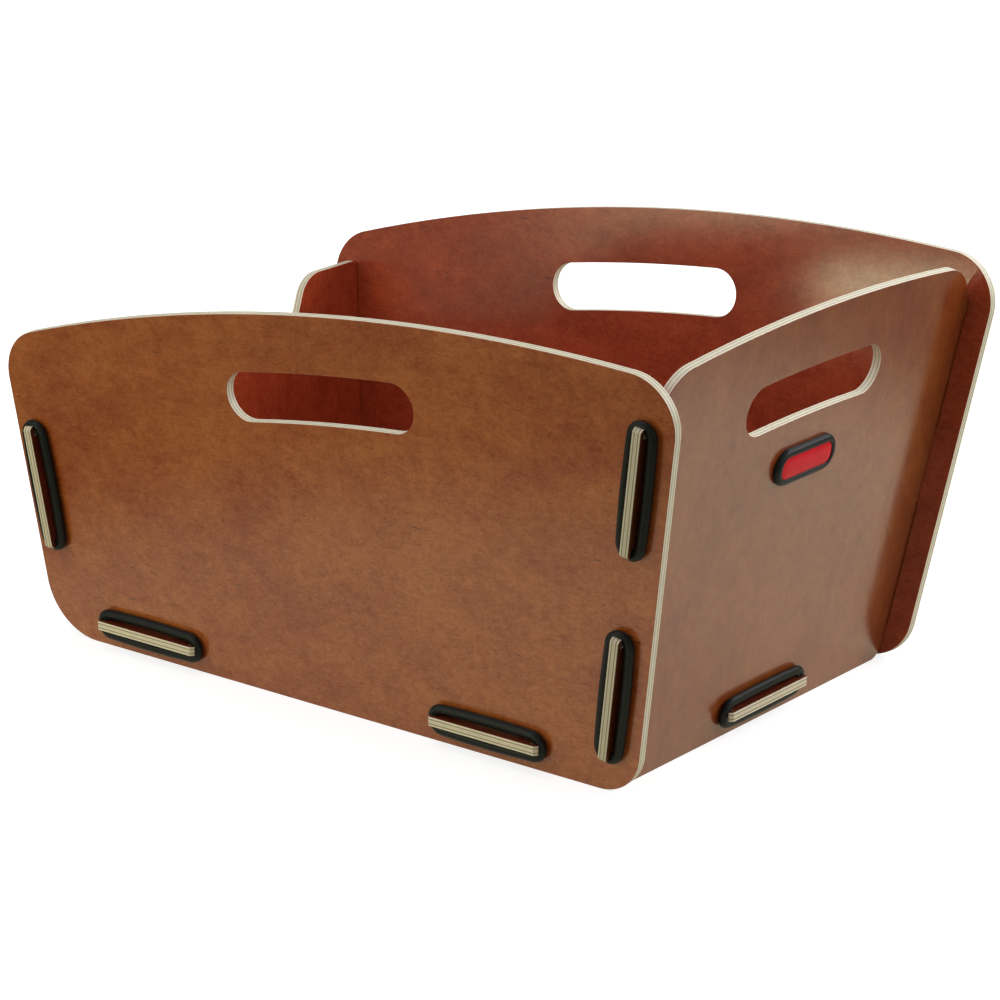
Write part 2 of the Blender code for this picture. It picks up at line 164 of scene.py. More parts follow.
# Depth and Tones: how strongly a pattern of that name shows; tabShade: how dark the faces of tabs are beyond
# the wall, a painted shade where the tabs lie in shade beside the rings; varnishThin: how much of the varnish
# is left over the darkest grain
veneer = dict(
    outerLight=(0.385, 0.089, 0.014), outerDark=(0.276, 0.034, 0.001),
    # the inner faces' tones below are lighter and redder than the outer ones: painted light inside the crate
    innerLitLight=(0.465, 0.055, 0.018), innerLitDark=(0.318, 0.028, 0.010),
    pore=(0.085, 0.018, 0.006), fleck=(0.030, 0.010, 0.006), paintedSheen=(0.60, 0.41, 0.13),
    mottleShare=0.45, toneStops=(0.38, 0.62), grainDepth=0.16, frecklesDepth=0.08, paintedSheenDepth=0.13,
    streakTones=(0.94, 1.05), crossTones=(0.92, 1.06), poreDepth=0.45, markDepth=0.8, tabShade=0.32,
    roughness=(0.38, 0.46), relief=0.05 * mm, specular=0.15,
    varnishThin=0.64, varnishRoughness=0.18, varnishIndex=1.6, varnishRipple=0.010 * mm,
)
# the veneer's patterns; stretch: along and across the grain; shift: sets each apart from the others
veneerPatterns = dict(
    cloud=dict(size=46 * mm, stretch=(1.6, 1), shift=0, distortion=0.5),
    mottle=dict(size=13 * mm, stretch=(1.3, 1), shift=2, roughness=0.6, distortion=0.3),
    grain=dict(size=4 * mm, stretch=(1.5, 1), shift=29, detail=5, roughness=0.78, distortion=0.6),
    freckles=dict(size=1.2 * mm, stretch=(2.2, 1), shift=31, roughness=0.7, distortion=0.4),
    streak=dict(size=0.8 * mm, stretch=(16, 1), shift=3, roughness=0.6),
    cross=dict(size=0.7 * mm, stretch=(1, 13), shift=5, detail=2, roughness=0.6),
    pores=dict(size=0.32 * mm, stretch=(9, 1), shift=8, detail=2),
    marks=dict(size=1.5 * mm, stretch=(6, 1), shift=13, detail=2, roughness=0.5, distortion=1.2),
    sparse=dict(size=26 * mm, stretch=(1.5, 1), shift=17, detail=1),
    ripple=dict(size=8 * mm, stretch=(1.2, 1), shift=23, detail=2),
)
# the bare edges' plies, those of the tab ends, and the sides of the tab slots, painted dark as painted shade
# in the gap round each tab; wander: how far the plies stray, as a share of the thickness
edges = dict(
    cream=(0.81, 0.745, 0.590), warmCream=(0.82, 0.720, 0.550),
    endGrain=(0.490, 0.430, 0.290), core=(0.750, 0.700, 0.545),
    tabGrain=(0.330, 0.265, 0.165), tabCream=(0.690, 0.615, 0.455), wander=0.05, wanderSize=14 * mm,
    fibreSize=0.5 * mm, fibreTones=(0.90, 1.05), streakSize=7 * mm, streakTones=(0.94, 1.03),
    roughness=(0.50, 0.60), relief=0.06 * mm,
    slotShade=(0.090, 0.045, 0.022), slotTones=(0.8, 1.2), slotFibre=0.8 * mm,
    slotRoughness=(0.65, 0.80), slotRelief=0.05 * mm,
)


def planeOf(mesh):
    # a board's normal, from its largest flat faces, and how far along it the board's middle lies
    areas = {}
    tiny, digits = 1e-6, 3
    for polygon in mesh.polygons:
        n = polygon.normal
        level, square = abs(n.z) <= tiny, abs(n.y) <= tiny
        if n.z < -tiny or (level and n.y > 0) or (level and square and n.x < 0):
            n = -n
        key = tuple(round(c, digits) for c in n)
        areas.setdefault(key, [0.0, Vector()])
        areas[key][0] += polygon.area
        areas[key][1] += n * polygon.area
    normal = max(areas.values(), key=lambda entry: entry[0])[1].normalized()
    offsets = [normal.dot(vertex.co) for vertex in mesh.vertices]
    return normal, (min(offsets) + max(offsets)) / 2


def pastWalls(tree, place, look):
    # 1 on the part of a board beyond one of the walls, where only its tabs reach
    mask = None
    for wall in look["walls"]:
        normal, middle = planeOf(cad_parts[wall].data)
        outward = 1 if normal.dot(Vector(boards[wall]["outside"])) > 0 else -1
        depth = heightAlong(tree, place, normal * outward)
        face = middle * outward + boardCut["thickness"] * boardCut["pastShare"]
        past = mathNode(tree, "GREATER_THAN", depth, face)
        mask = past if mask is None else mathNode(tree, "MAXIMUM", mask, past)
    return mask


def veneerMaterial(name, look, normal, middle):
    # stained and varnished veneer: clouds, mottle, fine streaks both ways, pores, a few dark flecks, and a
    # painted sheen over the lighter grain
    v = veneer
    material, tree, shader, place = newMaterial(name)
    length = Vector(look["along"])
    length = (length - normal * length.dot(normal)).normalized()
    along = Matrix.Rotation(radians(look["grain"]), 3, normal) @ length
    turn = Matrix((along, normal.cross(along), normal)).to_euler()
    laid = addNode(tree, "ShaderNodeMapping", {"Vector": place, "Rotation": turn}).outputs[0]

    def pattern(size, stretch, shift, detail=3, roughness=0.55, distortion=0.0):
        vector = addNode(tree, "ShaderNodeMapping", {
            "Vector": laid, "Scale": (1 / stretch[0], 1 / stretch[1], 1),
            "Location": (look["seed"] + shift, look["seed"] * 0.37, shift * 0.7)}).outputs[0]
        return addNode(tree, "ShaderNodeTexNoise", {
            "Vector": vector, "Scale": 1 / size, "Detail": detail,
            "Roughness": roughness, "Distortion": distortion}).outputs[0]

    made = {key: pattern(**values) for key, values in veneerPatterns.items()}
    side = heightAlong(tree, place, normal)
    outward = 1 if normal.dot(Vector(look["outside"])) > 0 else -1
    inner = mathNode(tree, "LESS_THAN", mathNode(tree, "MULTIPLY", side, outward), middle * outward)
    clouded = mathNode(tree, "MULTIPLY", made["cloud"], 1 - v["mottleShare"])
    blend = mathNode(tree, "MULTIPLY_ADD", made["mottle"], v["mottleShare"], clouded)
    low, high = v["toneStops"]
    # painted light: the inner faces take their own, lighter tones
    outerTone, innerLitTone = (
        # painted light and shade: each board's veneer tones are scaled by its own brightness factor
        ramp(tree, blend, ((low, tuple(Vector(v[dark]) * look["paintedLightScale"])),
                           (high, tuple(Vector(v[light]) * look["paintedLightScale"]))))
        for dark, light in (("outerDark", "outerLight"), ("innerLitDark", "innerLitLight")))
    tone = mixColour(tree, inner, outerTone, innerLitTone)
    grainDepth, frecklesDepth, paintedSheenDepth = (
        look["figure"] * v[key] for key in ("grainDepth", "frecklesDepth", "paintedSheenDepth"))
    for key, levels in (
            ("grain", (1 - grainDepth, 1 + grainDepth)), ("freckles", (1 - frecklesDepth, 1 + frecklesDepth)),
            ("streak", v["streakTones"]), ("cross", v["crossTones"])):
        tone = mixColour(tree, 1.0, tone, greySpread(tree, made[key], levels), "MULTIPLY")
    halved = mathNode(tree, "MULTIPLY", made["freckles"], 0.5)
    fine = mathNode(tree, "MULTIPLY_ADD", made["grain"], 0.5, halved)
    # painted sheen: a pale veil laid over the lighter grain, where the varnish lies thickest
    sheenMask = ramp(tree, fine, ((0.36, grey(0)), (0.66, grey(paintedSheenDepth))))
    tone = mixColour(tree, sheenMask, tone, (*v["paintedSheen"], 1))
    poreMask = ramp(tree, made["pores"], ((0.60, grey(0)), (0.76, grey(v["poreDepth"]))))
    tone = mixColour(tree, poreMask, tone, (*v["pore"], 1))
    fleckMask = mathNode(
        tree, "MULTIPLY", ramp(tree, made["marks"], ((0.67, grey(0)), (0.75, grey(v["markDepth"])))),
        ramp(tree, made["sparse"], ((0.53, grey(0)), (0.60, grey(1)))))
    tone = mixColour(tree, fleckMask, tone, (*v["fleck"], 1))
    # painted shade: the faces of the tabs beyond the wall are darkened
    if look["walls"]:
        shade = mixColour(tree, pastWalls(tree, place, look), grey(1), grey(v["tabShade"]))
        tone = mixColour(tree, 1.0, tone, shade, "MULTIPLY")
    # the varnish sinks into the dark grain, so it reflects less there
    thin = 1 - (1 - v["varnishThin"]) * look["figure"] ** 0.5
    coat = ramp(tree, fine, ((0.36, grey(thin)), (0.62, grey(1))))
    setShader(tree, shader, Base_Color=tone, Roughness=greySpread(tree, made["mottle"], v["roughness"]),
              Normal=bumpNode(tree, made["streak"], 0.35, v["relief"]), Specular_IOR_Level=v["specular"],
              Coat_Weight=coat, Coat_Roughness=v["varnishRoughness"], Coat_IOR=v["varnishIndex"],
              Coat_Normal=bumpNode(tree, made["ripple"], 1.0, v["varnishRipple"]))
    return material


def edgeMaterial(name, look, normal, middle):
    # bare plywood edge: five plies across the thickness, end grain in the second and fourth
    e, thickness = edges, boardCut["thickness"]
    material, tree, shader, place = newMaterial(name)
    height = heightAlong(tree, place, normal)
    wander = spotNoise(tree, place, e["wanderSize"], 2)
    wander = mathNode(tree, "MULTIPLY_ADD", wander, e["wander"], -e["wander"] / 2)
    share = mathNode(tree, "MULTIPLY_ADD", height, 1 / thickness, 0.5 - middle / thickness)
    share = mathNode(tree, "ADD", share, wander)
    cream, warm, endGrain, core = e["cream"], e["warmCream"], e["endGrain"], e["core"]
    plies = ramp(tree, share, (
        (0.00, warm), (0.19, cream), (0.22, endGrain), (0.34, endGrain), (0.37, core), (0.63, core),
        (0.66, endGrain), (0.78, endGrain), (0.81, cream), (1.00, warm)))
    if look["walls"]:
        # painted light and shade: the tab ends' plies are scaled by the board's own brightness factor
        dark, pale = (tuple(Vector(e[key]) * look["tabEndLightScale"]) for key in ("tabGrain", "tabCream"))
        ends = ramp(tree, share, (
            (0.00, dark), (0.05, pale), (0.18, pale), (0.22, dark), (0.33, dark), (0.38, pale), (0.47, pale),
            (0.50, dark), (0.54, pale), (0.63, pale), (0.67, dark), (0.78, dark), (0.82, pale), (1.00, pale)))
        plies = mixColour(tree, pastWalls(tree, place, look), plies, ends)
    fibre = spotNoise(tree, place, e["fibreSize"], 3, 0.6)
    streak = spotNoise(tree, place, e["streakSize"], 3, 0.6)
    tone = mixColour(tree, 1.0, plies, greySpread(tree, fibre, e["fibreTones"]), "MULTIPLY")
    tone = mixColour(tree, 1.0, tone, greySpread(tree, streak, e["streakTones"]), "MULTIPLY")
    setShader(tree, shader, Base_Color=tone, Roughness=greySpread(tree, streak, e["roughness"]),
              Normal=bumpNode(tree, fibre, 0.5, e["relief"]), Specular_IOR_Level=0.35,
              Coat_Weight=0.2, Coat_Roughness=0.3)
    return material


def slotMaterial(name):
    # the cut sides of a slot that a tab fills, painted dark: painted shade in the narrow gap round the tab
    e = edges
    material, tree, shader, place = newMaterial(name)
    fibre = spotNoise(tree, place, e["slotFibre"], 3)
    dark, light = (tuple(Vector(e["slotShade"]) * level) for level in e["slotTones"])
    setShader(tree, shader, Base_Color=ramp(tree, fibre, ((0.3, dark), (0.7, light))),
              Roughness=greySpread(tree, fibre, e["slotRoughness"]),
              Normal=bumpNode(tree, fibre, 0.4, e["slotRelief"]), Specular_IOR_Level=0.2)
    return material


def boardOutline(nodeName):
    # the rims of a CAD board's flat face, the board's own frame and half its thickness
    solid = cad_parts[nodeName].data
    flatFacing = boardCut["flatFacing"]
    work = bmesh.new()
    work.from_mesh(solid)
    bmesh.ops.remove_doubles(work, verts=work.verts, dist=boardCut["weld"])
    normal, middle = planeOf(solid)
    half = max(abs(normal.dot(vertex.co) - middle) for vertex in work.verts)
    side = normal.orthogonal().normalized()
    other = normal.cross(side)
    following = {}
    for face in work.faces:
        if face.normal.dot(normal) > flatFacing:
            for loop in face.loops:
                if loop.link_loop_radial_next.face.normal.dot(normal) < flatFacing:
                    following[loop.vert.index] = loop.link_loop_next.vert.index
    work.verts.ensure_lookup_table()
    rims = []
    while following:
        first = next(iter(following))
        rim, index = [], first
        while index in following:
            point = work.verts[index].co
            rim.append((point.dot(side), point.dot(other)))
            index = following.pop(index)
        rims.append(rim)
    work.free()
    matrix = Matrix((side, other, normal)).transposed().to_4x4()
    matrix.translation = normal * middle
    return rims, matrix, half


def cutBoard(nodeName, name):
    # the board as cut and sanded: its rims extruded, with a rounded arris all round
    arris = boardCut["arris"]
    rims, matrix, half = boardOutline(nodeName)
    curve = bpy.data.curves.new(name, "CURVE")
    curve.dimensions = "2D"
    curve.fill_mode = "BOTH"
    curve.extrude = half - arris
    curve.bevel_depth = arris
    curve.bevel_resolution = boardCut["arrisSteps"]
    curve.offset = -arris
    for rim in rims:
        spline = curve.splines.new("POLY")
        spline.points.add(len(rim) - 1)
        for point, place in zip(spline.points, rim):
            point.co = (*place, 0, 1)
        spline.use_cyclic_u = True
    cut = addObject(name + "_cut", curve)
    graph = bpy.context.evaluated_depsgraph_get()
    mesh = bpy.data.meshes.new_from_object(cut.evaluated_get(graph))
    bpy.data.objects.remove(cut)
    mesh.name = name
    mesh.transform(matrix)
    work = bmesh.new()
    work.from_mesh(mesh)
    bmesh.ops.remove_doubles(work, verts=work.verts, dist=boardCut["weld"])
    bmesh.ops.recalc_face_normals(work, faces=work.faces)
    work.to_mesh(mesh)
    work.free()
    mesh.materials.clear()
    return addObject(name, mesh), matrix, rims


def plainMesh(piece):
    # modifiers into the mesh
    graph = bpy.context.evaluated_depsgraph_get()
    mesh = bpy.data.meshes.new_from_object(piece.evaluated_get(graph))
    piece.modifiers.clear()
    piece.data = mesh
    mesh.name = piece.name


def distanceToRim(spot, rim):
    nearest = float("inf")
    for first, second in zip(rim, rim[1:] + rim[:1]):
        start, run = Vector(first), Vector(second) - Vector(first)
        share = max(0.0, min(1.0, (spot - start).dot(run) / run.length_squared))
        nearest = min(nearest, (start + run * share - spot).length)
    return nearest


def makeBoard(nodeName, look):
    b = boardCut
    piece, matrix, rims = cutBoard(nodeName, nodeName.replace("panel", "board"))
    normal = matrix.col[2].to_3d()
    middle = normal.dot(matrix.translation)
    veneered, bareEdge, slotSide = range(3)
    piece.data.materials.append(veneerMaterial(nodeName + "_veneer", look, normal, middle))
    piece.data.materials.append(edgeMaterial(nodeName + "_plies", look, normal, middle))
    piece.data.materials.append(slotMaterial(nodeName + "_slots"))
    piece.data.shade_smooth()
    piece.data.set_sharp_from_angle(angle=radians(b["sharpAngle"]))
    weighted = piece.modifiers.new("weighted", "WEIGHTED_NORMAL")
    weighted.keep_sharp = True
    weighted.weight = b["normalWeight"]
    plainMesh(piece)
    # a tab slot is a small rim with only a few corners; hand slots and the outline have arcs
    slots = [rim for rim in rims if len(rim) < b["slotCorners"]]
    walls = [planeOf(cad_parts[wall].data) for wall in look["walls"]]
    reach = b["thickness"] / 2 + b["wallReach"]
    back = matrix.inverted()
    for polygon in piece.data.polygons:
        centre = polygon.center
        spot = (back @ centre).to_2d()
        # painted shade: bare edge faces beside a wall take the dark veneer instead of the plies, where the
        # seam lies in shade
        shadedBesideWall = any(abs(side.dot(centre) - place) < reach for side, place in walls)
        if abs(polygon.normal.dot(normal)) > b["veneerFacing"] or shadedBesideWall:
            polygon.material_index = veneered
        elif any(distanceToRim(spot, rim) < b["slotReach"] for rim in slots):
            polygon.material_index = slotSide
        else:
            polygon.material_index = bareEdge
    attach(piece, "root")
    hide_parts(nodeName)


for nodeName, look in boards.items():
    makeBoard(nodeName, look)
print("boards made:", len(boards))


# rubber rings

# halfSide: half of a ring's straight stretch; turn: radius of its ends, at the middle of the rubber; bow: how
# far its long sides swell outward; uneven: how far the rubber strays from its shape; nearlyFull: share of the
# turn that the ends are rounded to; roundTo: decimals, in metres, that a CAD corner keeps
ring = dict(
    halfSide=27.84 * mm, turn=5.81 * mm, width=5.2 * mm, height=4.2 * mm, bow=0.6 * mm,
    uneven=0.10 * mm, unevenSize=11 * mm, steps=144, round=20, turnSteps=24, nearlyFull=0.999,
    dark=(0.0045, 0.0053, 0.0048), dusty=(0.0095, 0.0108, 0.0098), dustSize=4 * mm,
    skinSize=0.35 * mm, skinRelief=0.03 * mm, roundTo=6,
)


def rubberMaterial():
    material, tree, shader, place = newMaterial("stretched_rubber")
    dust = spotNoise(tree, place, ring["dustSize"], 4, 0.65)
    skin = spotNoise(tree, place, ring["skinSize"], 2)
    tone = ramp(tree, dust, ((0.35, ring["dark"]), (0.70, ring["dusty"])))
    rough = ramp(tree, dust, ((0.30, grey(0.38)), (0.75, grey(0.52))))
    bump = bumpNode(tree, skin, 0.4, ring["skinRelief"])
    setShader(tree, shader, Base_Color=tone, Roughness=rough, Normal=bump, Specular_IOR_Level=0.17)
    return material


def ringTree(material):
    tree = bpy.data.node_groups.new("stretchedRing", "GeometryNodeTree")
    face = tree.interface
    face.new_socket(name="Geometry", in_out="OUTPUT", socket_type="NodeSocketGeometry")
    face.new_socket(name="Geometry", in_out="INPUT", socket_type="NodeSocketGeometry")
    for name in ("Half Side", "Turn", "Width", "Height", "Bow", "Uneven", "Seed"):
        face.new_socket(name=name, in_out="INPUT", socket_type="NodeSocketFloat")
    for name in ("Steps", "Round"):
        face.new_socket(name=name, in_out="INPUT", socket_type="NodeSocketInt")
    face.new_socket(name="Place", in_out="INPUT", socket_type="NodeSocketVector")
    face.new_socket(name="Angles", in_out="INPUT", socket_type="NodeSocketVector")
    given = addNode(tree, "NodeGroupInput").outputs
    across = mathNode(tree, "MULTIPLY", given["Turn"], 2.0)
    length = mathNode(tree, "MULTIPLY_ADD", given["Half Side"], 2.0, across)
    loop = addNode(tree, "GeometryNodeCurvePrimitiveQuadrilateral", {"Width": length, "Height": across})
    nearly = mathNode(tree, "MULTIPLY", given["Turn"], ring["nearlyFull"])
    filleted = addNode(tree, "GeometryNodeFilletCurve", {"Curve": loop.outputs[0], "Radius": nearly},
                       mode="POLY")
    filleted.inputs["Count"].default_value = ring["turnSteps"]
    even = addNode(tree, "GeometryNodeResampleCurve", {"Curve": filleted.outputs[0], "Count": given["Steps"]})
    spot = addNode(tree, "GeometryNodeInputPosition").outputs[0]
    parts = addNode(tree, "ShaderNodeSeparateXYZ", {0: spot}).outputs
    run = mathNode(tree, "DIVIDE", parts[0], given["Half Side"])
    swell = mathNode(tree, "SUBTRACT", 1.0, mathNode(tree, "MULTIPLY", run, run), clamp=True)
    swell = mathNode(tree, "MULTIPLY", swell, given["Bow"])
    swell = mathNode(tree, "MULTIPLY", swell, mathNode(tree, "SIGN", parts[1]))
    bowed = addNode(tree, "ShaderNodeCombineXYZ", {1: swell}).outputs[0]
    laid = addNode(tree, "GeometryNodeSetPosition", {"Geometry": even.outputs[0], "Offset": bowed})
    radius = mathNode(tree, "MULTIPLY", given["Width"], 0.5)
    section = addNode(tree, "GeometryNodeCurvePrimitiveCircle", {
        "Resolution": given["Round"], "Radius": radius})
    tube = addNode(tree, "GeometryNodeCurveToMesh", {
        "Curve": laid.outputs[0], "Profile Curve": section.outputs[0]})
    flat = mathNode(tree, "DIVIDE", given["Height"], given["Width"])
    flatScale = addNode(tree, "ShaderNodeCombineXYZ", {0: 1.0, 1: 1.0, 2: flat}).outputs[0]
    squeezed = addNode(tree, "GeometryNodeTransform", {"Geometry": tube.outputs[0], "Scale": flatScale})
    wobble = addNode(tree, "ShaderNodeTexNoise", {
        "W": given["Seed"], "Scale": 1 / ring["unevenSize"], "Detail": 1.0},
        noise_dimensions="4D").outputs["Color"]
    centred = addNode(tree, "ShaderNodeVectorMath", {
        0: wobble, 1: (0.5, 0.5, 0.5)}, operation="SUBTRACT").outputs[0]
    amount = mathNode(tree, "MULTIPLY", given["Uneven"], 2.0)
    shift = addNode(tree, "ShaderNodeVectorMath", {0: centred, "Scale": amount}, operation="SCALE").outputs[0]
    worn = addNode(tree, "GeometryNodeSetPosition", {"Geometry": squeezed.outputs[0], "Offset": shift})
    put = addNode(tree, "GeometryNodeTransform", {
        "Geometry": worn.outputs[0], "Translation": given["Place"], "Rotation": given["Angles"]})
    soft = addNode(tree, "GeometryNodeSetShadeSmooth", {"Geometry": put.outputs[0]})
    real = addNode(tree, "GeometryNodeRealizeInstances", {"Geometry": soft.outputs[0]})
    painted = addNode(tree, "GeometryNodeSetMaterial", {"Geometry": real.outputs[0], "Material": material})
    output = addNode(tree, "NodeGroupOutput")
    tree.links.new(painted.outputs[0], output.inputs[0])
    return tree


def setInputs(modifier, values):
    for item in modifier.node_group.interface.items_tree:
        if item.item_type == "SOCKET" and item.in_out == "INPUT" and item.name in values:
            modifier[item.identifier] = values[item.name]


def cadPoints(nodeName, digits):
    # the corners of a CAD mesh, each one once
    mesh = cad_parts[nodeName].data
    points = np.array([vertex.co for vertex in mesh.vertices])
    return np.unique(np.round(points, digits), axis=0)


def layOf(nodeName):
    # where a CAD ring lies: its middle, and its long, short and thin directions
    points = cadPoints(nodeName, ring["roundTo"])
    middle = (points.min(0) + points.max(0)) / 2
    centred = points - points.mean(0)
    axes = np.linalg.svd(centred, full_matrices=False)[2]
    along, across, thin = (Vector(axis) for axis in axes)
    if along.cross(across).dot(thin) < 0:
        thin.negate()
    turn = Matrix((along, across, thin)).transposed()
    return Vector(middle), turn.to_euler()


ringNodes = sorted(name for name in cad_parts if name.startswith("ring_"))
tree = ringTree(rubberMaterial())
for count, nodeName in enumerate(ringNodes):
    middle, angles = layOf(nodeName)
    piece = addObject("rubber_" + nodeName, bpy.data.meshes.new("rubber_" + nodeName))
    modifier = piece.modifiers.new("ring", "NODES")
    modifier.node_group = tree
    setInputs(modifier, {
        "Half Side": ring["halfSide"], "Turn": ring["turn"], "Width": ring["width"],
        "Height": ring["height"], "Bow": ring["bow"], "Uneven": ring["uneven"],
        "Seed": float(count), "Steps": ring["steps"], "Round": ring["round"],
        "Place": tuple(middle), "Angles": tuple(angles)})
    plainMesh(piece)
    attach(piece, "root")
    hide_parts(nodeName)
print("rings made:", len(ringNodes))


# badge: a black plate with a plain red inlay

# shoulder: radius of the plate's outer edge; lip: radius of the edge round the inlet; pocket: depth of the
# hollow under the inlet; crownReach and crownPower: how far in and how roundly the inlay rises; cornerRoom:
# what keeps a corner's radius under half the width; roundTo: decimals, in metres, that a CAD corner keeps
badge = dict(
    length=51.0 * mm, width=19.0 * mm, thickness=3.0 * mm, shoulder=2.3 * mm,
    inletLength=42.8 * mm, inletWidth=11.6 * mm, inletCorner=4.7 * mm, inletDepth=0.5 * mm, lip=0.9 * mm,
    pocket=1.0 * mm, inlayThickness=0.9 * mm, inlayGap=0.12 * mm, inlayArris=0.15 * mm,
    inlayCrown=0.42 * mm, crownReach=4.2 * mm, crownPower=2.2,
    arcSteps=14, shoulderSteps=6, lipSteps=4, crownSteps=9, sharpAngle=40, cornerRoom=0.001 * mm, roundTo=7,
    black=((0.012, 0.014, 0.015), (0.019, 0.022, 0.023)), blackRoughness=(0.38, 0.46),
    sparkSize=0.25 * mm, sparkRelief=0.02 * mm,
    red=((0.62, 0.009, 0.020), (0.70, 0.012, 0.026)), redRoughness=(0.32, 0.42),
    depthSize=6 * mm, rubSize=0.7 * mm, rubRelief=0.01 * mm,
)


def roundedLoop(length, width, corner, steps):
    # points of a rounded rectangle, anticlockwise
    corner = min(corner, width / 2 - badge["cornerRoom"])
    points = []
    for quarter, (sx, sy) in enumerate(((1, 1), (-1, 1), (-1, -1), (1, -1))):
        centre = Vector((sx * (length / 2 - corner), sy * (width / 2 - corner)))
        for step in range(steps + 1):
            angle = (quarter + step / steps) * pi / 2
            points.append(centre + corner * Vector((cos(angle), sin(angle))))
    return points


def loftedPiece(name, levels, matrix):
    # a closed skin through loops that all have the same number of points; each level is (loop, height)
    work = bmesh.new()
    rows = [[work.verts.new(matrix @ Vector((p.x, p.y, height))) for p in loop] for loop, height in levels]
    for low, high in zip(rows, rows[1:]):
        for index in range(len(low)):
            following = (index + 1) % len(low)
            work.faces.new((low[index], low[following], high[following], high[index]))
    work.faces.new(list(reversed(rows[0])))
    work.faces.new(rows[-1])
    bmesh.ops.recalc_face_normals(work, faces=work.faces)
    mesh = bpy.data.meshes.new(name)
    work.to_mesh(mesh)
    work.free()
    mesh.shade_smooth()
    mesh.set_sharp_from_angle(angle=radians(badge["sharpAngle"]))
    return addObject(name, mesh)


def badgePlace():
    # the badge's own frame: X along it, Y up the board, Z out of it, from its foot
    points = cadPoints("badge_bezel", badge["roundTo"])
    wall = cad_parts["badge_end_panel"].data
    normal = planeOf(wall)[0]
    if normal.x < 0:
        normal = -normal
    along = Vector((0, 1, 0))
    up = normal.cross(along).normalized()
    reach = points @ np.array(normal)
    middle = Vector((points.min(0) + points.max(0)) / 2)
    matrix = Matrix((along, up, normal)).transposed().to_4x4()
    matrix.translation = middle + normal * (reach.min() - middle.dot(normal))
    return matrix


def badgeBlackMaterial():
    b = badge
    material, tree, shader, place = newMaterial("badge_black_moulding")
    spark = spotNoise(tree, place, b["sparkSize"], 2)
    dark, light = b["black"]
    setShader(tree, shader, Base_Color=ramp(tree, spark, ((0.3, dark), (0.7, light))),
              Roughness=greySpread(tree, spark, b["blackRoughness"]),
              Normal=bumpNode(tree, spark, 0.35, b["sparkRelief"]), Specular_IOR_Level=0.16)
    return material


def badgeRedMaterial():
    b = badge
    material, tree, shader, place = newMaterial("badge_red_inlay")
    depth = spotNoise(tree, place, b["depthSize"], 2)
    rub = spotNoise(tree, place, b["rubSize"], 3)
    dark, light = b["red"]
    setShader(tree, shader, Base_Color=ramp(tree, depth, ((0.3, dark), (0.7, light))),
              Roughness=greySpread(tree, rub, b["redRoughness"]),
              Normal=bumpNode(tree, rub, 0.15, b["rubRelief"]), Specular_IOR_Level=0.06,
              Coat_Weight=0.10, Coat_Roughness=0.12, Coat_IOR=1.45)
    return material


def plateLoop(inset):
    b = badge
    return roundedLoop(b["length"] - 2 * inset, b["width"] - 2 * inset, b["width"] / 2 - inset, b["arcSteps"])


def inletLoop(inset):
    b = badge
    return roundedLoop(
        b["inletLength"] - 2 * inset, b["inletWidth"] - 2 * inset, b["inletCorner"] - inset, b["arcSteps"])


def makePlate(matrix):
    # the black plate: round shoulder outside, round lip inside, and a pocket for the inlay
    b = badge
    levels = [(plateLoop(0), 0)]
    for step in range(b["shoulderSteps"] + 1):
        angle = step / b["shoulderSteps"] * pi / 2
        levels.append((plateLoop(b["shoulder"] * (1 - cos(angle))),
                       b["thickness"] - b["shoulder"] * (1 - sin(angle))))
    for step in range(b["lipSteps"] + 1):
        angle = step / b["lipSteps"] * pi / 2
        levels.append((inletLoop(b["lip"] * (sin(angle) - 1)), b["thickness"] - b["lip"] * (1 - cos(angle))))
    levels.append((inletLoop(0), b["thickness"] - b["inletDepth"] - b["pocket"]))
    plate = loftedPiece("badge_plate", levels, matrix)
    plate.data.materials.append(badgeBlackMaterial())
    return plate


def makeInlay(matrix):
    # the red inlay, crowned toward its middle
    b = badge
    gap = b["inlayGap"]
    top = b["thickness"] - b["inletDepth"]
    rim = top - b["inlayArris"]
    levels = [(inletLoop(gap), top - b["inlayThickness"]), (inletLoop(gap), rim)]
    for step in range(1, b["crownSteps"]):
        share = step / b["crownSteps"]
        rise = b["inlayCrown"] * (1 - (1 - share) ** b["crownPower"])
        levels.append((inletLoop(gap + share * b["crownReach"]), rim + rise))
    inlay = loftedPiece("badge_inlay", levels, matrix)
    inlay.data.materials.append(badgeRedMaterial())
    return inlay


def makeBadge():
    matrix = badgePlace()
    bezel, inlay = makePlate(matrix), makeInlay(matrix)
    for piece, nodeName, slotName in (
            (bezel, "badge_bezel", "badge_black"), (inlay, "badge_insert", "badge_red")):
        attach(piece, "root")
        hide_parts(nodeName)


makeBadge()
print("badge made")


# floor, light and camera

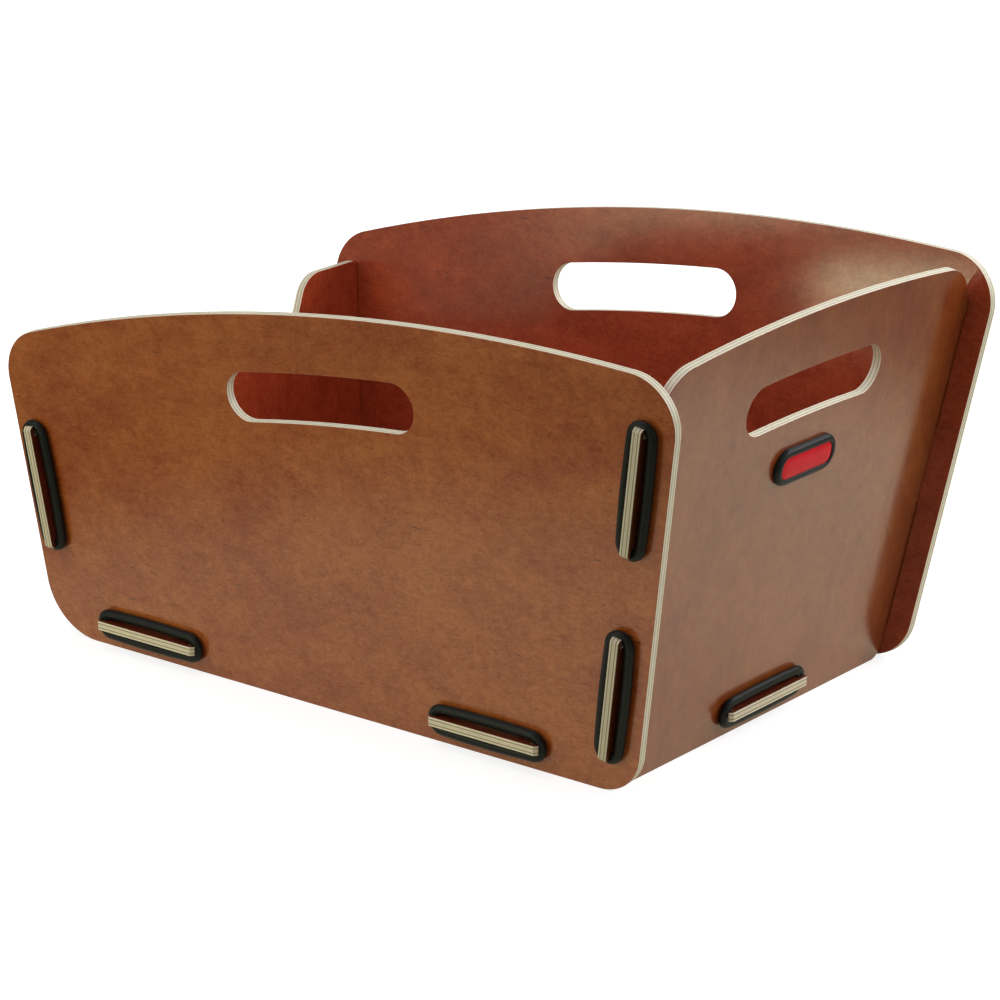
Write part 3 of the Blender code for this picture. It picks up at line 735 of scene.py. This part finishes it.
# a grey floor with a painted pool of light, a white round patch standing in for a lamp's pool; poolLift and
# outerLift: how much the two glow for the camera; reflectionGlow: how much the pool glows in reflections
# only, a painted reflection; lowTint: the colour of the two low lamps
studio = dict(
    floorSize=9.0, poolCentre=(0.06, 0.05, 0.0), poolInner=0.33, poolOuter=0.51,
    poolLitColour=(0.45, 0.435, 0.34), unlitFloorGrey=(0.20, 0.19, 0.15),
    poolLift=0.78, outerLift=0.95, reflectionGlow=1.18, worldLevel=0.40,
    lampTarget=(0, 0, 0.1), lowTint=(0.96, 1.0, 0.62),
    lamps=(
        dict(name="top_lamp", place=(-0.20, -0.20, 1.30), width=0.8, height=0.8, power=4.0),
        dict(name="upper_left_lamp", place=(-0.80, -1.00, 0.90), width=0.5, height=0.5, power=3.0),
        dict(name="key_lamp", place=(-0.44, -1.10, 0.10), width=0.52, height=0.20, power=2.4, low=True),
        dict(name="side_lamp", place=(-0.77, -1.09, 0.13), width=0.28, height=0.27, power=0.52, low=True),
        dict(name="right_lamp", place=(1.30, 0.30, 0.50), width=0.8, height=0.6, power=2.6),
        dict(name="back_right_lamp", place=(0.80, 0.90, 0.80), width=0.8, height=0.6, power=8.3),
        dict(name="back_lamp", place=(0.00, 1.30, 0.90), width=0.8, height=0.6, power=4.5),
    ),
)
cameraPlace = dict(
    at=(1179.1032 * mm, -1505.3824 * mm, 706.7596 * mm),
    yaw=0.6621, pitch=0.3158, roll=-0.0015, focalShare=3.8746232, sensorWidth=36, clip=(0.05, 50),
)


def makeFloor():
    # a painted pool of light in a dimmer room: the floor is white in a round patch and grey outside it, and
    # the patch glows in reflections, a painted reflection; the camera sees all of it white, shadows kept
    s = studio
    half = s["floorSize"] / 2
    corners = [(x * half, y * half, 0) for x, y in ((-1, -1), (1, -1), (1, 1), (-1, 1))]
    mesh = bpy.data.meshes.new("studio_floor")
    mesh.from_pydata(corners, [], [(0, 1, 2, 3)])
    floor = addObject("studio_floor", mesh)
    material = bpy.data.materials.new("studio_floor_white")
    material.use_nodes = True
    tree = material.node_tree
    tree.nodes.clear()
    place = addNode(tree, "ShaderNodeTexCoord").outputs["Object"]
    reach = addNode(tree, "ShaderNodeVectorMath", {
        0: place, 1: s["poolCentre"]}, operation="DISTANCE").outputs["Value"]
    outsidePool = addNode(tree, "ShaderNodeMapRange", {
        "Value": reach, "From Min": s["poolInner"], "From Max": s["poolOuter"]},
        interpolation_type="SMOOTHSTEP").outputs[0]
    rays = addNode(tree, "ShaderNodeLightPath").outputs
    # painted pool of light: the floor's colour falls from white to grey outside a round patch
    white = mixColour(tree, outsidePool, (*s["poolLitColour"], 1), (*s["unlitFloorGrey"], 1))
    white = mixColour(tree, rays["Is Camera Ray"], white, grey(s["poolLitColour"][0]))
    matt = addNode(tree, "ShaderNodeBsdfDiffuse", {"Color": white})
    lift = mathNode(tree, "MULTIPLY_ADD", outsidePool, s["outerLift"] - s["poolLift"], s["poolLift"])
    lift = mathNode(tree, "MULTIPLY", rays["Is Camera Ray"], lift)
    # painted reflection: the pool glows, only in what mirrors it
    reflectedGlow = mathNode(tree, "MULTIPLY_ADD", outsidePool, -s["reflectionGlow"], s["reflectionGlow"])
    reflectedGlow = mathNode(tree, "MULTIPLY", rays["Is Glossy Ray"], reflectedGlow)
    tint = mixColour(tree, rays["Is Camera Ray"], (*s["poolLitColour"], 1), grey(1))
    strength = mathNode(tree, "ADD", lift, reflectedGlow)
    glow = addNode(tree, "ShaderNodeEmission", {"Color": tint, "Strength": strength})
    lit = addNode(tree, "ShaderNodeAddShader", {0: matt.outputs[0], 1: glow.outputs[0]})
    addNode(tree, "ShaderNodeOutputMaterial", {"Surface": lit.outputs[0]})
    mesh.materials.append(material)


def makeWorld():
    s = studio
    world = bpy.data.worlds.new("studio")
    bpy.context.scene.world = world
    world.use_nodes = True
    tree = world.node_tree
    tree.nodes.clear()
    rays = addNode(tree, "ShaderNodeLightPath").outputs
    level = mathNode(tree, "MULTIPLY_ADD", rays["Is Camera Ray"], 1 - s["worldLevel"], s["worldLevel"])
    shade = addNode(tree, "ShaderNodeBackground", {"Color": grey(1), "Strength": level})
    addNode(tree, "ShaderNodeOutputWorld", {"Surface": shade.outputs[0]})


def softbox(name, place, width, height, power, low=False):
    lamp = bpy.data.lights.new(name, "AREA")
    lamp.shape = "RECTANGLE"
    lamp.size, lamp.size_y = width, height
    lamp.energy = power
    lamp.color = studio["lowTint"] if low else (1, 1, 1)
    obj = addObject(name, lamp)
    obj.location = place
    obj.rotation_mode = "QUATERNION"
    obj.rotation_quaternion = (Vector(studio["lampTarget"]) - Vector(place)).to_track_quat("-Z", "Y")


def makeCamera():
    c = cameraPlace
    forward = Vector((-sin(c["yaw"]) * cos(c["pitch"]), cos(c["yaw"]) * cos(c["pitch"]), -sin(c["pitch"])))
    right = Vector((cos(c["yaw"]), sin(c["yaw"]), 0))
    down = forward.cross(right)
    rolledRight = right * cos(c["roll"]) + down * sin(c["roll"])
    rolledDown = down * cos(c["roll"]) - right * sin(c["roll"])
    data = bpy.data.cameras.new("camera")
    data.sensor_width = c["sensorWidth"]
    data.lens = c["sensorWidth"] * c["focalShare"]
    data.clip_start, data.clip_end = c["clip"]
    camera = addObject("camera", data)
    axes = Matrix((rolledRight, -rolledDown, -forward)).transposed()
    camera.matrix_world = Matrix.Translation(c["at"]) @ axes.to_4x4()
    bpy.context.scene.camera = camera


makeFloor()
makeWorld()
for lamp in studio["lamps"]:
    softbox(**lamp)
makeCamera()
bpy.context.scene.view_settings.view_transform = "Standard"
print("studio made")
